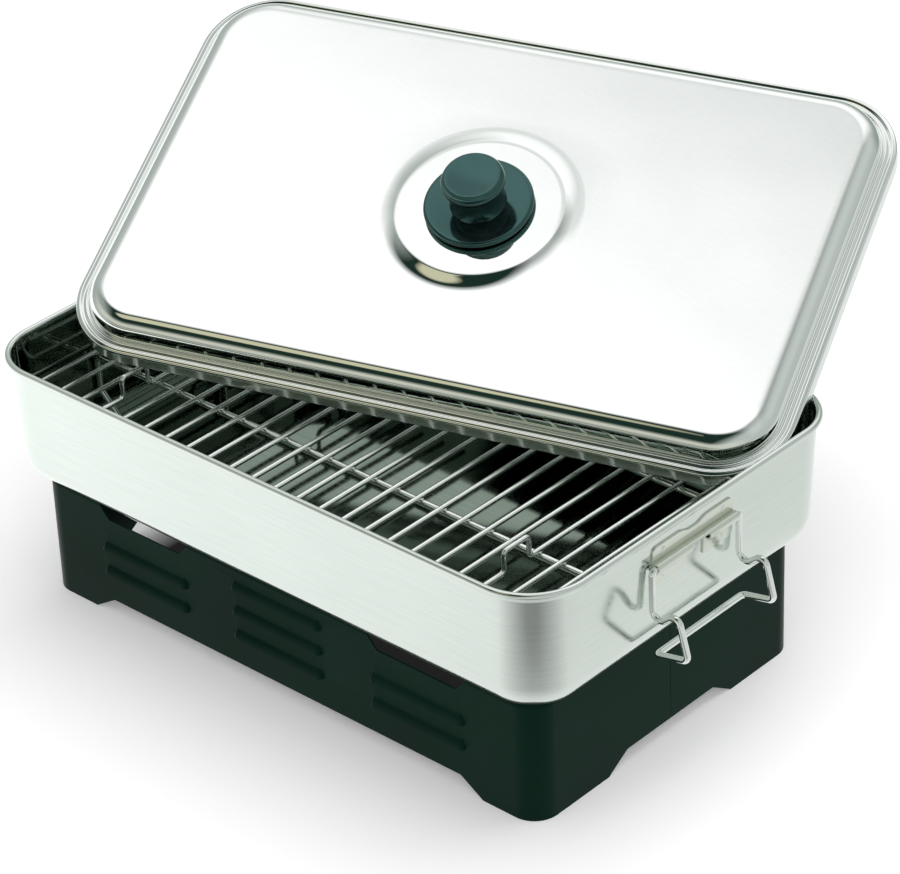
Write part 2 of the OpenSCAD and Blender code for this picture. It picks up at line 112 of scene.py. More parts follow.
def ramp(tree, source, stops):
    """The colours along a ramp of (position, grey or colour) stops. The source and the result
    are each a pair of a node and its output, as in the functions that follow."""
    node = add(tree, "ShaderNodeValToRGB")
    join(tree, *source, node, "Fac")
    elements = node.color_ramp.elements
    while len(elements) < len(stops):
        elements.new(0.5)
    for element, (position, colour) in zip(elements, stops):
        element.position = position
        element.color = (*colour, 1) if isinstance(colour, tuple) else (colour, colour, colour, 1)
    return (node, "Color")


def spread(tree, source, low, high, at_low=0, at_high=1):
    """A number that goes from at_low to at_high while the source goes from low to high."""
    node = add(
        tree, "ShaderNodeMapRange", From_Min=low, From_Max=high, To_Min=at_low, To_Max=at_high
    )
    join(tree, *source, node, "Value")
    return (node, "Result")


def maths(tree, operation, first, second=None):
    """The result of a Math node, fed by sources or by numbers."""
    node = add(tree, "ShaderNodeMath", operation=operation)
    for number, source in enumerate((first, second)):
        if isinstance(source, tuple):
            join(tree, *source, node, number)
        elif source is not None:
            node.inputs[number].default_value = source
    return (node, 0)


def painted(tree, base, colour, share):
    """A plain colour over a base, as thick as its share says."""
    node = add(tree, "ShaderNodeMix", data_type="RGBA")
    node.inputs[7].default_value = (*colour, 1)
    join(tree, *share, node, 0)
    join(tree, *base, node, 6)
    return (node, 2)


def by_ray(tree, kind, others, these):
    """A shader node that is one shader for rays of a kind, and another for the others."""
    node = add(tree, "ShaderNodeMixShader")
    join(tree, add(tree, "ShaderNodeLightPath"), kind, node, 0)
    join(tree, others, 0, node, 1)
    join(tree, these, 0, node, 2)
    return node


def to_surface(tree, shader):
    """The material's output, showing that shader."""
    join(tree, shader, 0, add(tree, "ShaderNodeOutputMaterial"), 0)


white = (1.0, 1.0, 1.0, 1)
fill_strength = 0.56
panel_bright = (1.2, 1.2, 1.2)
room_dark = (0.012, 0.03, 0.022)
room_grey = (0.3, 0.35, 0.32)
room_side = (0.5, 0.55, 0.52)
low_grey = (0.68, 0.69, 0.6)
cream = (0.62, 0.6, 0.42)
cream_way = Vector((-0.24, -0.47, 0.85)).normalized()
cream_edge = (0.983, 0.992)

world = bpy.data.worlds.new("room")
bpy.context.scene.world = world
world.use_nodes = True
tree = world.node_tree
tree.nodes.clear()
direction = add(tree, "ShaderNodeTexCoord")
split = add(tree, "ShaderNodeSeparateXYZ")
join(tree, direction, "Generated", split, "Vector")
front_to_rear = spread(tree, (split, "Y"), -1, 1)
left_to_right = spread(tree, (split, "X"), -1, 1)
level_to_top = (split, "Z")

# The lit panel overhead ends softly towards the rear and the right, and sharply to the front
panel_depth = ramp(tree, front_to_rear, [
    (0.37, 0.0), (0.45, 1.0), (0.535, 1.0), (0.558, 0.83), (0.578, 0.68),
    (0.64, 0.6), (0.71, 0.9), (0.8, 1.0), (0.95, 0.6),
])
panel_width = ramp(tree, left_to_right, [
    (0.0, 0.1), (0.12, 0.2), (0.25, 1.0), (0.49, 1.0), (0.6, 0.35), (0.8, 0.15),
])
panel_height = ramp(tree, level_to_top, [(0.1, 0.0), (0.35, 0.2), (0.5, 0.7), (0.62, 1.0)])
panel = maths(tree, "MULTIPLY", maths(tree, "MULTIPLY", panel_depth, panel_width), panel_height)

# The room round it is dark in front and grey behind, with paler sides, a pale band low in front
# and one cream wall panel
sides = ramp(tree, left_to_right, [(0.0, 0.8), (0.19, 0.6), (0.28, 0.0), (0.62, 0.0), (0.8, 1.0)])
low_band = ramp(tree, level_to_top, [
    (0.04, 0.2), (0.1, 0.75), (0.17, 0.3), (0.24, 0.85), (0.4, 0.9), (0.5, 0.35), (0.6, 0.0),
])
in_front = ramp(tree, front_to_rear, [(0.2, 1.0), (0.42, 0.0)])
toward_cream = add(tree, "ShaderNodeVectorMath", operation="DOT_PRODUCT")
toward_cream.inputs[1].default_value = cream_way
join(tree, direction, "Generated", toward_cream, 0)
room = ramp(tree, front_to_rear, [(0.45, room_dark), (0.75, room_grey)])
room = painted(tree, room, room_side, sides)
room = painted(tree, room, low_grey, maths(tree, "MULTIPLY", low_band, in_front))
room = painted(tree, room, cream, spread(tree, (toward_cream, "Value"), *cream_edge))
room = painted(tree, room, panel_bright, panel)

mirrored = add(tree, "ShaderNodeBackground", Strength=1.0)
join(tree, *room, mirrored, "Color")
backdrop = add(tree, "ShaderNodeBackground", Color=white, Strength=1.0)
fill = add(tree, "ShaderNodeBackground", Color=white, Strength=fill_strength)
around = by_ray(tree, "Is Glossy Ray", others=fill, these=mirrored)
around = by_ray(tree, "Is Camera Ray", others=around, these=backdrop)
join(tree, around, 0, add(tree, "ShaderNodeOutputWorld"), 0)


def soft_lamp(name, place, aim, size, watts):
    """A square area lamp that looks at a point. Mirrors show the room's panel in its place."""
    lamp = bpy.data.objects.new(name, bpy.data.lights.new(name, "AREA"))
    lamp.data.size = size
    lamp.data.energy = watts
    lamp.location = place
    lamp.rotation_euler = (Vector(place) - Vector(aim)).to_track_quat("Z", "Y").to_euler()
    lamp.visible_glossy = False
    bpy.context.scene.collection.objects.link(lamp)


lamp_aim = (0, 0, 0.1)
soft_lamp("lamp_overhead", place=(0.1, 0.5, 2.1), aim=lamp_aim, size=1.9, watts=26)
soft_lamp("lamp_right", place=(1.6, -1.2, 1.4), aim=lamp_aim, size=1.2, watts=4)

table_half = 12
table_white = 0.9
table_glow = 0.24
# Painted light on the table as mirrors see it: its tint, brighter to the left, and a round painted
# shadow near the front right corner
painted_light_tint = (0.97, 1.0, 0.98, 1)
painted_light_left = 1.25
painted_light_right = 0.72
painted_light_fade = (-0.4, 0.5)
painted_shadow_place = (0.33, -0.27, 0)
painted_shadow_depth = 0.35
painted_shadow_fade = (0.05, 0.22)
# Painted shadow on the table under the stand: the stand's half size, its soft edge and its
# darkness
stand_half = (0.19, 0.112)
painted_shade_fade = (0.03, 0.008)
painted_shade_level = 0.05

table_mesh = bpy.data.meshes.new("table")
table_corners = [
    (x * table_half, y * table_half, 0) for x, y in ((-1, -1), (1, -1), (1, 1), (-1, 1))
]
table_mesh.from_pydata(table_corners, [], [(0, 1, 2, 3)])
table = bpy.data.objects.new("table", table_mesh)
bpy.context.scene.collection.objects.link(table)
material, tree = new_material("table")
at = add(tree, "ShaderNodeTexCoord")
split = add(tree, "ShaderNodeSeparateXYZ")
join(tree, at, "Object", split, 0)

# The table is painted dark under the stand, a painted shadow in both its colour and its glow,
# and elsewhere glows a little where the camera sees it
past_painted_shade = []
for axis, half in zip("XY", stand_half):
    off_middle = maths(tree, "ABSOLUTE", (split, axis))
    fade = (half - painted_shade_fade[0], half - painted_shade_fade[1])
    past_painted_shade.append(spread(tree, off_middle, *fade, painted_shade_level, 1))
outside_painted_shade = maths(tree, "MAXIMUM", *past_painted_shade)
surface = add(tree, "ShaderNodeBsdfDiffuse")
join(tree, *maths(tree, "MULTIPLY", outside_painted_shade, table_white), surface, "Color")
glow = add(tree, "ShaderNodeEmission", Color=white)
join(tree, *maths(tree, "MULTIPLY", outside_painted_shade, table_glow), glow, "Strength")
glowing = add(tree, "ShaderNodeAddShader")
join(tree, surface, 0, glowing, 0)
join(tree, glow, 0, glowing, 1)

# In mirrors the table shows painted light: brightest to the left, with a round painted shadow
# near the front right corner and the painted shadow under the stand
painted_light_falloff = spread(tree, (split, "X"), *painted_light_fade, painted_light_left, painted_light_right)
from_painted_shadow = add(tree, "ShaderNodeVectorMath", operation="DISTANCE")
from_painted_shadow.inputs[1].default_value = painted_shadow_place
join(tree, at, "Object", from_painted_shadow, 0)
painted_shadow = spread(tree, (from_painted_shadow, "Value"), *painted_shadow_fade, painted_shadow_depth, 1)
painted_table_light = maths(tree, "MULTIPLY", maths(tree, "MULTIPLY", painted_light_falloff, painted_shadow), outside_painted_shade)
painted_mirror_light = add(tree, "ShaderNodeEmission", Color=painted_light_tint)
join(tree, *painted_table_light, painted_mirror_light, "Strength")
by_camera = by_ray(tree, "Is Camera Ray", others=surface, these=glowing)
to_surface(tree, by_ray(tree, "Is Glossy Ray", others=by_camera, these=painted_mirror_light))
table_mesh.materials.append(material)


# ---- Stand ----
# Two pressed halves of 1 mm sheet steel, spot welded end to end, with louvres, notches and
# arches. Baked in a semi-matt dark green enamel that is a little rippled, like orange peel.
crease = math.radians(28)
merge_gap = 2e-6


def place(mesh, finishes, slot, body, *nodes):
    """An object for a mesh that has no material yet, riding on a body, in place of CAD nodes."""
    piece = bpy.data.objects.new(mesh.name, mesh)
    bpy.context.scene.collection.objects.link(piece)
    for finish in finishes:
        mesh.materials.append(finish)
    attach(piece, body)
    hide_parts(*nodes)


def smooth_copy(node, finish, slot, body):
    """A CAD node's mesh, merged and smooth-shaded between its creases, in the node's place."""
    mesh = frame["nodes"][node].data.copy()
    shape = bmesh.new()
    shape.from_mesh(mesh)
    bmesh.ops.remove_doubles(shape, verts=shape.verts, dist=merge_gap)
    bmesh.ops.dissolve_degenerate(shape, edges=shape.edges, dist=merge_gap / 2)
    for face in shape.faces:
        face.smooth = True
    shape.to_mesh(mesh)
    shape.free()
    mesh.set_sharp_from_angle(angle=crease)
    flat = bpy.data.objects.new("flat", mesh)
    bpy.context.scene.collection.objects.link(flat)
    flat.modifiers.new("flats_stay_flat", "WEIGHTED_NORMAL").keep_sharp = True
    depsgraph = bpy.context.evaluated_depsgraph_get()
    weighted = bpy.data.meshes.new_from_object(flat.evaluated_get(depsgraph))
    bpy.data.objects.remove(flat)
    bpy.data.meshes.remove(mesh)
    weighted.name = f"{node}_sheet"
    weighted.materials.clear()
    place(weighted, [finish], slot, body, node)


def grain(tree, scale, detail, stretch=(1, 1, 1), turn=(0, 0, 0)):
    """Noise in the piece's own coordinates, drawn finer along the axes that are stretched."""
    at = add(tree, "ShaderNodeTexCoord")
    mapping = add(tree, "ShaderNodeMapping", Scale=stretch, Rotation=turn)
    noise = add(tree, "ShaderNodeTexNoise", Scale=scale, Detail=detail)
    join(tree, at, "Object", mapping, "Vector")
    join(tree, mapping, "Vector", noise, "Vector")
    return (noise, "Fac")


def bumps(tree, height, shader, strength, depth, under=None):
    """Bumps of a depth on a shader's surface, on top of another bump node."""
    bump = add(tree, "ShaderNodeBump", Strength=strength, Distance=depth)
    join(tree, *height, bump, "Height")
    if under is not None:
        join(tree, under, "Normal", bump, "Normal")
    join(tree, bump, "Normal", shader, "Normal")
    return bump


enamel_deep = (0.002, 0.0135, 0.0085)
enamel_light = (0.004, 0.021, 0.0135)
enamel_sheen = (0.6, 1.0, 0.8, 1)
ripple_depth = 0.0008
peel_depth = 0.00012
enamel, tree = new_material("stand_enamel")
shader = add(
    tree, "ShaderNodeBsdfPrincipled",
    Metallic=0.0, IOR=1.5, Specular_IOR_Level=0.05, Specular_Tint=enamel_sheen,
)
clouds = grain(tree, 9, detail=4)
join(tree, *ramp(tree, clouds, [(0.35, enamel_deep), (0.65, enamel_light)]), shader, "Base Color")
join(tree, *ramp(tree, clouds, [(0.3, 0.3), (0.7, 0.42)]), shader, "Roughness")
ripple = bumps(tree, grain(tree, 42, detail=2), shader, 0.12, ripple_depth)
bumps(tree, grain(tree, 520, detail=2), shader, 0.1, peel_depth, ripple)
to_surface(tree, shader)
for half in ("front", "rear"):
    smooth_copy(f"stand_{half}", enamel, "stand_green", "stand")


# ---- Burners ----
# Two loose spirit burners: a drawn aluminium cup with a wadding wick under a wire gauze, and a
# turned-over ring that leaves the round opening for the flame.
spun_dark = (0.5, 0.51, 0.5)
spun_light = (0.68, 0.69, 0.68)
lathe_depth = 0.0002
spun, tree = new_material("burner_aluminium")
shader = add(tree, "ShaderNodeBsdfPrincipled", Metallic=1.0)
lathe = grain(tree, 60, detail=4, stretch=(1, 1, 14))
join(tree, *ramp(tree, lathe, [(0.3, spun_dark), (0.7, spun_light)]), shader, "Base Color")
join(tree, *ramp(tree, lathe, [(0.3, 0.24), (0.7, 0.38)]), shader, "Roughness")
bumps(tree, lathe, shader, 0.15, lathe_depth)
to_surface(tree, shader)

wool_dark = (0.5, 0.46, 0.36)
wool_light = (0.78, 0.74, 0.64)
fibre_depth = 0.0008
wadding, tree = new_material("wick_wadding")
shader = add(tree, "ShaderNodeBsdfPrincipled", Metallic=0.0, Roughness=0.95, Sheen_Weight=0.3)
fibres = grain(tree, 380, detail=6, stretch=(1, 1, 2.5))
join(tree, *ramp(tree, fibres, [(0.3, wool_dark), (0.65, wool_light)]), shader, "Base Color")
bumps(tree, fibres, shader, 0.6, fibre_depth)
to_surface(tree, shader)

# A band texture of scale 1 repeats every pi / 10 metres
gauze_pitch = 0.0016
gauze_scale = math.pi / 10 / gauze_pitch
# The gaps between the gauze's wires are painted near black, as painted shade of the cup beneath
gauze_hole_painted_shade = 0.02
gauze_wire = (0.42, 0.43, 0.42)
gauze_depth = 0.0005
gauze, tree = new_material("burner_gauze")
shader = add(tree, "ShaderNodeBsdfPrincipled", Metallic=0.8, Roughness=0.45)
at = add(tree, "ShaderNodeTexCoord")
weave = []
for axis in ("X", "Y"):
    wires = add(
        tree, "ShaderNodeTexWave", wave_type="BANDS", bands_direction=axis, Scale=gauze_scale
    )
    join(tree, at, "Object", wires, "Vector")
    weave.append((wires, "Fac"))
woven = maths(tree, "MAXIMUM", *weave)
join(tree, *ramp(tree, woven, [(0.35, gauze_hole_painted_shade), (0.6, gauze_wire)]), shader, "Base Color")
bumps(tree, woven, shader, 0.8, gauze_depth)
to_surface(tree, shader)

for side in ("left", "right"):
    for piece, finish, slot in (
        ("cup", spun, "burner_steel"), ("ring", spun, "burner_steel"),
        ("wick", wadding, "wick_wool"), ("gauze", gauze, "gauze_steel"),
    ):
        smooth_copy(f"burner_{piece}_{side}", finish, slot, "stand")


# ---- Pan ----
# A deep drawn pan of 0.9 mm stainless steel, its rim rolled over outwards. Satin outside and
# polished like a mirror inside, where its colour is painted dark green as painted shade; it lies
# loose on the stand's ledge.
pan_low, pan_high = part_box("pan")
pan_sheet = 0.0009
pan_corner = 0.0373
pan_bead = 0.0021
pan_bend = 0.02
pan_lean = math.radians(2.7)
sheet_lap = 0.0002
floor_rings = (0.006, 0.002)
inner_shares = (0.25, 0.5, 0.75, 0.97)
outer_shares = (0.92, 0.75, 0.5, 0.25)
bead_start = 200
bead_turn = 316
bead_steps = 28
inner_steps = 12
outer_steps = 14
corner_steps = 24
side_steps = 8


def corner_ring(half_x, half_y, out, z):
    """Points round a rounded rectangle whose corner centres lie at plus and minus the halves."""
    points = []
    for corner in range(4):
        centre_x = half_x if corner in (0, 3) else -half_x
        centre_y = half_y if corner in (0, 1) else -half_y
        for step in range(corner_steps + 1):
            angle = math.radians(90 * corner + 90 * step / corner_steps)
            points.append((centre_x + out * math.cos(angle), centre_y + out * math.sin(angle), z))
        next_x = -half_x if corner in (0, 1) else half_x
        next_y = half_y if corner in (3, 0) else -half_y
        x, y, z = points[-1]
        angle = math.radians(90 * (corner + 1))
        run_x = next_x + out * math.cos(angle) - x
        run_y = next_y + out * math.sin(angle) - y
        for step in range(1, side_steps):
            share = step / side_steps
            points.append((x + run_x * share, y + run_y * share, z))
    return points


def round_ring(radius, z):
    """The same number of points round a circle, each on its way out to the rounded rectangle."""
    count = corner_steps + side_steps
    first = (90 - 90 * corner_steps / count) / 2
    return [
        (radius * math.cos(math.radians(first + 90 * step / count)),
         radius * math.sin(math.radians(first + 90 * step / count)), z)
        for step in range(4 * count)
    ]


def skin(name, rings, closed=False, finish_after=None):
    """A closed mesh over a list of rings: faces between neighbours, and either a cap at each end
    or faces from the last ring back to the first. Faces past a ring number take finish 1."""
    shape = bmesh.new()
    rows = [[shape.verts.new(point) for point in ring] for ring in rings]
    count = len(rows[0])
    pairs = list(zip(rows, rows[1:])) + ([(rows[-1], rows[0])] if closed else [])
    for number, (below, above) in enumerate(pairs):
        for i in range(count):
            j = (i + 1) % count
            face = shape.faces.new((below[i], below[j], above[j], above[i]))
            face.material_index = int(finish_after is not None and number >= finish_after)
    if not closed:
        shape.faces.new(rows[0])
        shape.faces.new(reversed(rows[-1])).material_index = int(finish_after is not None)
    for face in shape.faces:
        face.smooth = True
    bmesh.ops.recalc_face_normals(shape, faces=shape.faces)
    mesh = bpy.data.meshes.new(name)
    shape.to_mesh(mesh)
    shape.free()
    return mesh


half_x = pan_high.x - pan_corner
half_y = pan_high.y - pan_corner
bead_z = pan_high.z - pan_bead
bead_out = pan_corner - pan_bead
wall_out = pan_corner - 2 * pan_bead + pan_sheet + sheet_lap
bend_z = pan_low.z + pan_bend
wall_run = (bead_z - bend_z + pan_bend * math.sin(pan_lean)) / math.cos(pan_lean)
bend_out = wall_out - wall_run * math.sin(pan_lean) - pan_bend * math.cos(pan_lean)


def wall_at(z):
    """How far out of the corner centres the wall's outer face lies at a height."""
    return wall_out - (bead_z - z) * math.tan(pan_lean)


# Up the inside from the floor, round the bead, and down the outside to the floor again
section = [(bend_out - floor_in, pan_low.z + pan_sheet) for floor_in in floor_rings]
inner = pan_bend - pan_sheet
for step in range(inner_steps + 1):
    angle = math.radians(-90) + (math.radians(90) - pan_lean) * step / inner_steps
    section.append((bend_out + inner * math.cos(angle), bend_z + inner * math.sin(angle)))
for share in inner_shares:
    z = bend_z + (bead_z - bend_z) * share
    section.append((wall_at(z) - pan_sheet, z))
inside_rings = len(section)
for step in range(bead_steps + 1):
    angle = math.radians(bead_start - bead_turn * step / bead_steps)
    section.append((bead_out + pan_bead * math.cos(angle), bead_z + pan_bead * math.sin(angle)))
for share in outer_shares:
    z = bend_z + (bead_z - bend_z) * share
    section.append((wall_at(z), z))
for step in range(outer_steps + 1):
    angle = -pan_lean - (math.radians(90) - pan_lean) * step / outer_steps
    section.append((bend_out + pan_bend * math.cos(angle), bend_z + pan_bend * math.sin(angle)))
section += [(bend_out - floor_in, pan_low.z) for floor_in in reversed(floor_rings)]
pan_rings = [corner_ring(half_x, half_y, out, z) for out, z in section]
pan_mesh = skin("pan_sheet", pan_rings, finish_after=inside_rings)


def steel(name, dark, light, smooth, rough, brush, brush_depth, wave_depth=0, turn=(0, 0, 0)):
    """Bright metal: a tint and a gloss that drift a little, fine brush lines along a direction,
    and the slow unevenness of a pressed sheet."""
    material, tree = new_material(name)
    shader = add(tree, "ShaderNodeBsdfPrincipled", Metallic=1.0)
    lines = grain(tree, 30, detail=5, stretch=brush, turn=turn)
    both = add(tree, "ShaderNodeMix", data_type="FLOAT")
    both.inputs[0].default_value = 0.5
    join(tree, *grain(tree, 7, detail=3), both, 2)
    join(tree, *lines, both, 3)
    join(tree, *ramp(tree, (both, 0), [(0.3, dark), (0.7, light)]), shader, "Base Color")
    join(tree, *ramp(tree, (both, 0), [(0.3, smooth), (0.7, rough)]), shader, "Roughness")
    waves = None
    if wave_depth:
        waves = bumps(tree, grain(tree, 11, detail=1), shader, 0.5, wave_depth)
    bumps(tree, lines, shader, 0.3, brush_depth, waves)
    to_surface(tree, shader)
    return material


# The polished inside is painted dark green, as painted shade
pan_inside_painted_shade = steel(
    "pan_polished_painted_shade", dark=(0.19, 0.245, 0.205), light=(0.27, 0.325, 0.275), smooth=0.04, rough=0.08,
    brush=(1, 12, 1), brush_depth=0.000005, wave_depth=0.0003,
)
pan_satin = steel(
    "pan_satin", dark=(0.7, 0.745, 0.71), light=(0.79, 0.83, 0.8), smooth=0.1, rough=0.17,
    brush=(1, 1, 26), brush_depth=0.00001, wave_depth=0.0006,
)
place(pan_mesh, [pan_inside_painted_shade, pan_satin], "pan_steel", "pan", "pan")


# ---- Handle plates ----
# A stamped plate of 1 mm stainless sheet on each end of the pan, rolled into a barrel for the
# wire and cut open in the middle. Four spot welds hold it.
plate_steel = steel(
    "plate_satin", dark=(0.7, 0.72, 0.65), light=(0.84, 0.86, 0.79), smooth=0.16, rough=0.26,
    brush=(1, 1, 20), brush_depth=0.00002,
)
for side in ("left", "right"):
    smooth_copy(f"handle_plate_{side}", plate_steel, "plate_steel", "pan")


# ---- Handle wires ----
# One length of 3.8 mm stainless wire at each end, bent into a folding grip. Its two ends turn
# inwards and swing in the plate's barrel.
wire_dome = ((0, 0.72), (0.08, 0.93), (0.28, 1.0))


def bent_wire(name, points, bends, radius, sides=20, arc_steps=10):
    """A round wire through the corner points, bent to a radius at each, with domed ends."""
    path = [points[0]]
    for before, corner, after, bend in zip(points, points[1:], points[2:], bends):
        to_before = (before - corner).normalized()
        to_after = (after - corner).normalized()
        half = to_before.angle(to_after) / 2
        centre = corner + (to_before + to_after).normalized() * bend / math.sin(half)
        start = corner + to_before * bend / math.tan(half) - centre
        axis = start.cross(corner + to_after * bend / math.tan(half) - centre).normalized()
        turn = math.pi - 2 * half
        for step in range(arc_steps + 1):
            path.append(centre + Matrix.Rotation(turn * step / arc_steps, 3, axis) @ start)
    path.append(points[-1])
    tangents = []
    for i in range(len(path)):
        tangents.append((path[min(i + 1, len(path) - 1)] - path[max(i - 1, 0)]).normalized())
    side = tangents[0].orthogonal().normalized()
    rings = []
    for i, (point, tangent) in enumerate(zip(path, tangents)):
        side = (side - side.dot(tangent) * tangent).normalized()
        other = tangent.cross(side)
        steps = [(0, 1.0)]
        if i == 0:
            steps = wire_dome
        elif i == len(path) - 1:
            steps = [(-depth, size) for depth, size in reversed(wire_dome)]
        for depth, size in steps:
            centre = point + depth * radius * tangent
            rings.append([
                centre + size * radius * (math.cos(angle) * side + math.sin(angle) * other)
                for angle in (2 * math.pi * k / sides for k in range(sides))
            ])
    return skin(name, rings)


bail_radius = 0.0019
bail_path = [(0, -0.0338), (0.0171, -0.0201), (0.0241, -0.0462), (0.0027, -0.0509)]
bail_bends = [0.005, 0.004, 0.0032, 0.0026]
pin_bend = 0.0026
pin_length = 0.013
handle_joints = {joint["name"]: joint for joint in frame["record"]["behaviour"]["joints"]}
wire_bright = steel(
    "handle_wire_bright", dark=(0.8, 0.84, 0.81), light=(0.9, 0.93, 0.91), smooth=0.03, rough=0.08,
    brush=(3, 3, 3), brush_depth=0.00001,
)
for side, way in (("left", -1), ("right", 1)):
    pivot = Vector(handle_joints[f"handle_{side}_swing"]["pos_m"])
    low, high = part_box(f"handle_bail_{side}")
    pivot.y = (low.y + high.y) / 2
    arm = (high.y - low.y) / 2 - bail_radius
    plate_low, plate_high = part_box(f"handle_plate_{side}")
    pin = (plate_high.y - plate_low.y) / 2 - pin_length
    down = [Vector((way * out, 0, z)) for out, z in bail_path]
    near = Vector((0, arm, 0))
    corners = [Vector((0, -pin, 0)), -near] + [p - near for p in down]
    corners += [p + near for p in reversed(down)] + [near, Vector((0, pin, 0))]
    bends = [pin_bend] + bail_bends + bail_bends[::-1] + [pin_bend]
    mesh = bent_wire(f"handle_wire_{side}", [pivot + p for p in corners], bends, bail_radius)
    place(mesh, [wire_bright], "handle_wire", f"handle_{side}", f"handle_bail_{side}")


# ---- Rack ----
# Round bars of 3 mm bright wire, resistance welded across two 4 mm runners whose ends bend down
# into feet. Two of the bars rise into pairs of loops, by which the rack is lifted.
rack_low, rack_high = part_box("rack_bars")
bar_radius = 0.0015
bar_z = (rack_low.z + rack_high.z) / 2
bar_count = 24
bar_pitch = (rack_high.x - rack_low.x - 2 * bar_radius) / (bar_count - 1)
bar_gap = 0.01
corner_gap = 0.0015
lift_bars = (3, 20)
runner_radius = 0.002
runner_low, runner_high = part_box("rack_runner_rear")
runner_y = (runner_low.y + runner_high.y) / 2
runner_z = runner_high.z - runner_radius
room_out = wall_at(bar_z) - pan_sheet
weld_radius = 0.0021
weld_shape = (0.82, 1.0, 0.42)
bar_crease = math.radians(50)


def bar_half(x):
    """Half the length of the bar at x, which is shorter where the pan's corners come in."""
    corner = max(0, abs(x) + bar_radius - half_x)
    in_corner = half_y - corner_gap + math.sqrt(room_out ** 2 - corner ** 2)
    return min(half_y + room_out - bar_gap, in_corner)


rack_wire = steel(
    "rack_wire_bright", dark=(0.84, 0.87, 0.84), light=(0.92, 0.94, 0.92), smooth=0.14, rough=0.26,
    brush=(4, 4, 4), brush_depth=0.00001,
)

tree = bpy.data.node_groups.new("welded_bars", "GeometryNodeTree")
sockets = {}
for name, kind, value in (
    ("Bar count", "Int", bar_count),
    ("Bar pitch", "Float", bar_pitch),
    ("First bar", "Vector", (rack_low.x + bar_radius, 0, bar_z)),
    ("Bar radius", "Float", bar_radius),
    ("Full half length", "Float", bar_half(0)),
    ("Corner centre X", "Float", half_x),
    ("Corner centre Y", "Float", half_y - corner_gap),
    ("Corner radius", "Float", room_out),
    ("Runner Y", "Float", runner_y),
    ("Weld drop", "Float", 0.85 * bar_radius),
    ("Weld radius", "Float", weld_radius),
    ("Left lift bar", "Int", lift_bars[0]),
    ("Right lift bar", "Int", lift_bars[1]),
    ("Wire", "Material", rack_wire),
):
    socket = tree.interface.new_socket(name, in_out="INPUT", socket_type=f"NodeSocket{kind}")
    sockets[socket.identifier] = value
tree.interface.new_socket("Rack", in_out="OUTPUT", socket_type="NodeSocketGeometry")
given = add(tree, "NodeGroupInput")

# A point for each bar, without the two that rise into loops
pitch = add(tree, "ShaderNodeCombineXYZ")
join(tree, given, "Bar pitch", pitch, "X")
row = add(tree, "GeometryNodeMeshLine", mode="OFFSET")
join(tree, given, "Bar count", row, "Count")
join(tree, given, "First bar", row, "Start Location")
join(tree, pitch, 0, row, "Offset")
number = add(tree, "GeometryNodeInputIndex")
either = add(tree, "FunctionNodeBooleanMath", operation="OR")
for entry, name in enumerate(("Left lift bar", "Right lift bar")):
    same = add(tree, "FunctionNodeCompare", data_type="INT", operation="EQUAL")
    join(tree, number, 0, same, 2)
    join(tree, given, name, same, 3)
    join(tree, same, 0, either, entry)
straight = add(tree, "GeometryNodeDeleteGeometry", domain="POINT")
join(tree, row, 0, straight, "Geometry")
join(tree, either, 0, straight, "Selection")

# Half the length of each bar, kept while its point moves to the front end
spot = add(tree, "GeometryNodeInputPosition")
along = add(tree, "ShaderNodeSeparateXYZ")
join(tree, spot, 0, along, 0)
reach = maths(tree, "ADD", maths(tree, "ABSOLUTE", (along, "X")), (given, "Bar radius"))
past = maths(tree, "MAXIMUM", maths(tree, "SUBTRACT", reach, (given, "Corner centre X")), 0.0)
radius_squared = maths(tree, "POWER", (given, "Corner radius"), 2.0)
squares = maths(tree, "SUBTRACT", radius_squared, maths(tree, "POWER", past, 2.0))
in_corner = maths(tree, "ADD", (given, "Corner centre Y"), maths(tree, "SQRT", squares))
half = maths(tree, "MINIMUM", (given, "Full half length"), in_corner)
keep = add(tree, "GeometryNodeCaptureAttribute", domain="POINT")
keep.capture_items.new("FLOAT", "Half length")
join(tree, straight, 0, keep, "Geometry")
join(tree, *half, keep, 1)
forward = add(tree, "ShaderNodeCombineXYZ")
join(tree, *maths(tree, "MULTIPLY", half, -1.0), forward, "Y")
to_front = add(tree, "GeometryNodeSetPosition")
join(tree, keep, 0, to_front, "Geometry")
join(tree, forward, 0, to_front, "Offset")

# Each point is drawn out to the rear, and the edge that it leaves becomes a round bar
whole = add(tree, "ShaderNodeCombineXYZ")
join(tree, *maths(tree, "MULTIPLY", (keep, 1), 2.0), whole, "Y")
drawn = add(tree, "GeometryNodeExtrudeMesh", mode="VERTICES")
join(tree, to_front, 0, drawn, "Mesh")
join(tree, whole, 0, drawn, "Offset")
as_curves = add(tree, "GeometryNodeMeshToCurve")
join(tree, drawn, 0, as_curves, 0)
join(tree, drawn, "Side", as_curves, "Selection")
profile = add(tree, "GeometryNodeCurvePrimitiveCircle", Resolution=20)
join(tree, given, "Bar radius", profile, "Radius")
bars = add(tree, "GeometryNodeCurveToMesh", Fill_Caps=True)
join(tree, as_curves, 0, bars, "Curve")
join(tree, profile, 0, bars, "Profile Curve")

